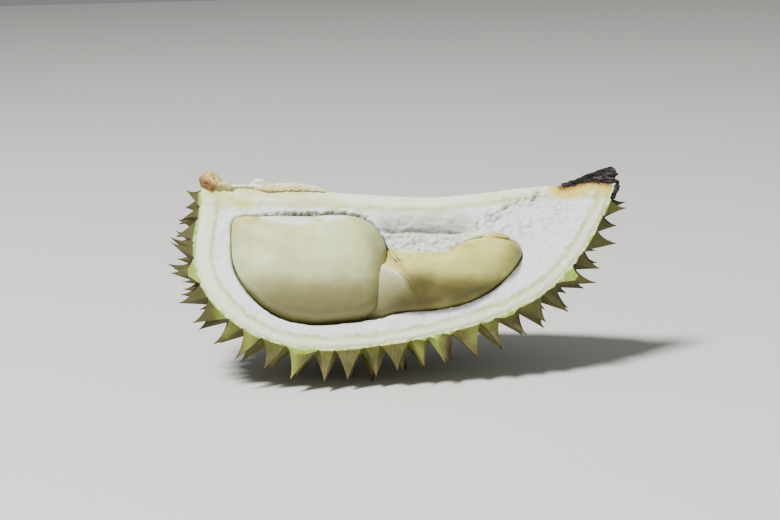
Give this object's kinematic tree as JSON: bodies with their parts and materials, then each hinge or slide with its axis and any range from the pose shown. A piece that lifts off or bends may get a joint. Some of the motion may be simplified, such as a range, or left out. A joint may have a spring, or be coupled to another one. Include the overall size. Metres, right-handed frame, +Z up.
{
  "type": "durian",
  "caption": "Opened valve of a durian lying on its spiny back, with pale lumps of flesh in the hollow of its front face.",
  "frame": {"origin": "on the floor, under the middle of the box round the valve", "axes": "+X along the fruit's axis from the stalk end to the blossom end, -Y out of the open front face, +Z up"},
  "size_m": [0.2481, 0.1123, 0.114],
  "materials": {
    "rind": "green-brown skin and spines, matt and finely ribbed",
    "pith": "matt, white, spongy and fibrous",
    "flesh": "smooth, pale cream yellow, faintly moist",
    "stalk_scar": "corky tan",
    "dried_tip": "dry black fibres"
  },
  "bodies": {
    "root": {"rind": "rind", "pith": "pith", "flesh_wide": "flesh", "flesh_narrow": "flesh", "stalk_scar": "stalk_scar", "dried_tip": "dried_tip"}
  },
  "joints": []
}
